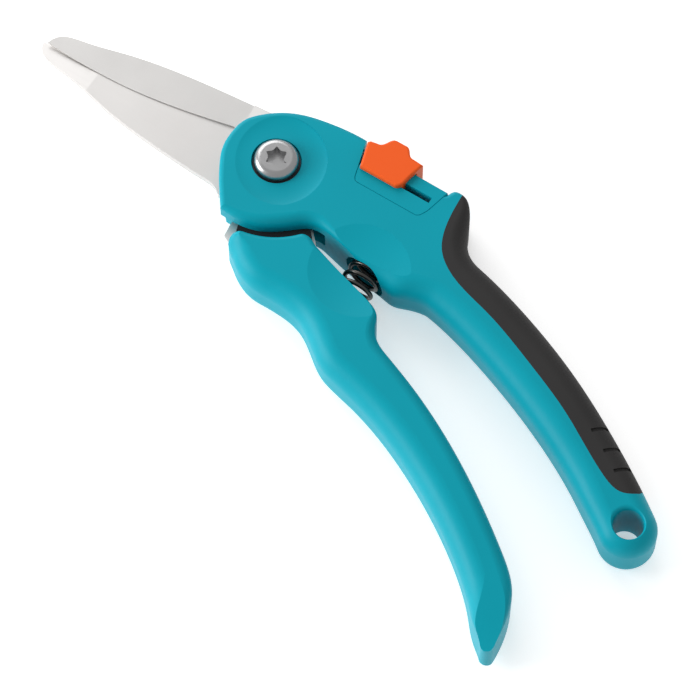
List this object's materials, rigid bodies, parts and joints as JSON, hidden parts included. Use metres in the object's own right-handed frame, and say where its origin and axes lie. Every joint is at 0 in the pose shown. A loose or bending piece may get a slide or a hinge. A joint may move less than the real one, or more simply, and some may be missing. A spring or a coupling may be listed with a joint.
{
  "type": "pruning shears",
  "caption": "Bypass pruning shears with two straight pointed blades, teal handles, dark soft grip, orange sliding lock, coil spring and hanging hole.",
  "frame": {"origin": "on the pivot axis, at the resting face of the upper handle's back ear", "axes": "+Z along the pivot axis towards the screw head, closed blades point along -X, the lock side is +Y"},
  "size_m": [0.1984, 0.1002, 0.0166],
  "materials": {
    "teal_body": "satin moulded glass-filled nylon",
    "soft_grip": "fine matt overmoulded rubber",
    "orange_button": "satin moulded plastic",
    "blade_steel": "ground and polished",
    "black_plate": "low-friction black sheet",
    "spring_steel": "stamped, bright",
    "screw_steel": "turned and nickel plated",
    "dark_steel": "blackened wire and washer"
  },
  "bodies": {
    "upper": {"upper_handle": "teal_body", "soft_grip": "soft_grip", "lock_guide": "teal_body", "rear_blade": "blade_steel", "pivot_bush": "spring_steel", "pivot_washer": "dark_steel", "pivot_screw": "screw_steel", "pivot_nut": "screw_steel", "return_spring": "dark_steel"},
    "lower": {"lower_handle": "teal_body", "front_blade": "blade_steel", "spacer_plate": "black_plate"},
    "lock": {"lock_slider": "orange_button", "lock_bolt": "spring_steel"}
  },
  "joints": [
    {"name": "handle_pivot", "type": "hinge", "parent": "upper", "child": "lower", "pos_m": [0, 0, 0.0083], "axis": [0, 0, -1], "range_deg": [0, 22], "deforming": ["return_spring"]},
    {"name": "lock_slide", "type": "slide", "parent": "upper", "child": "lock", "axis": [1, 0, 0], "range_m": [0, 0.0055]}
  ]
}
